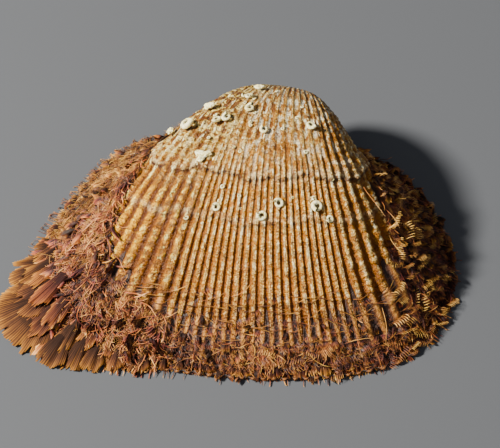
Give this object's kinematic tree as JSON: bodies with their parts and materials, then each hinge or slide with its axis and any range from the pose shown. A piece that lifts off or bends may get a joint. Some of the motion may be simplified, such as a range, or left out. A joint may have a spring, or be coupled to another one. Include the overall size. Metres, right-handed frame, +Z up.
{
  "type": "ark clam shell",
  "caption": "Ribbed ark clam valve lying hollow side down, with a shaggy brown skin round its edge and small worm tubes on top.",
  "frame": {"origin": "centre of the whole object's box in plan, on the surface it lies on, at the height of the valve's flat rim", "axes": "+X along the hinge towards the front end, +Y from the free edge to the hinge and beak, +Z up out of the domed side"},
  "size_m": [0.0602, 0.04, 0.0191],
  "materials": {
    "shell": "lime shell, orange-brown between cream ribs, chalky at the beak, porcelain white inside",
    "skin": "horny fibrous skin, dark red-brown to golden, shaggy",
    "lime": "matt chalky white"
  },
  "bodies": {
    "root": {"valve": "shell", "periostracum": "skin", "worm_tube_01": "lime", "worm_tube_02": "lime", "worm_tube_03": "lime", "worm_tube_04": "lime", "worm_tube_05": "lime", "worm_tube_06": "lime", "worm_tube_07": "lime", "worm_tube_08": "lime", "worm_tube_09": "lime", "worm_tube_10": "lime", "worm_tube_11": "lime", "worm_tube_12": "lime", "lime_lump_01": "lime", "lime_lump_02": "lime", "lime_lump_03": "lime", "lime_lump_04": "lime"}
  },
  "joints": []
}
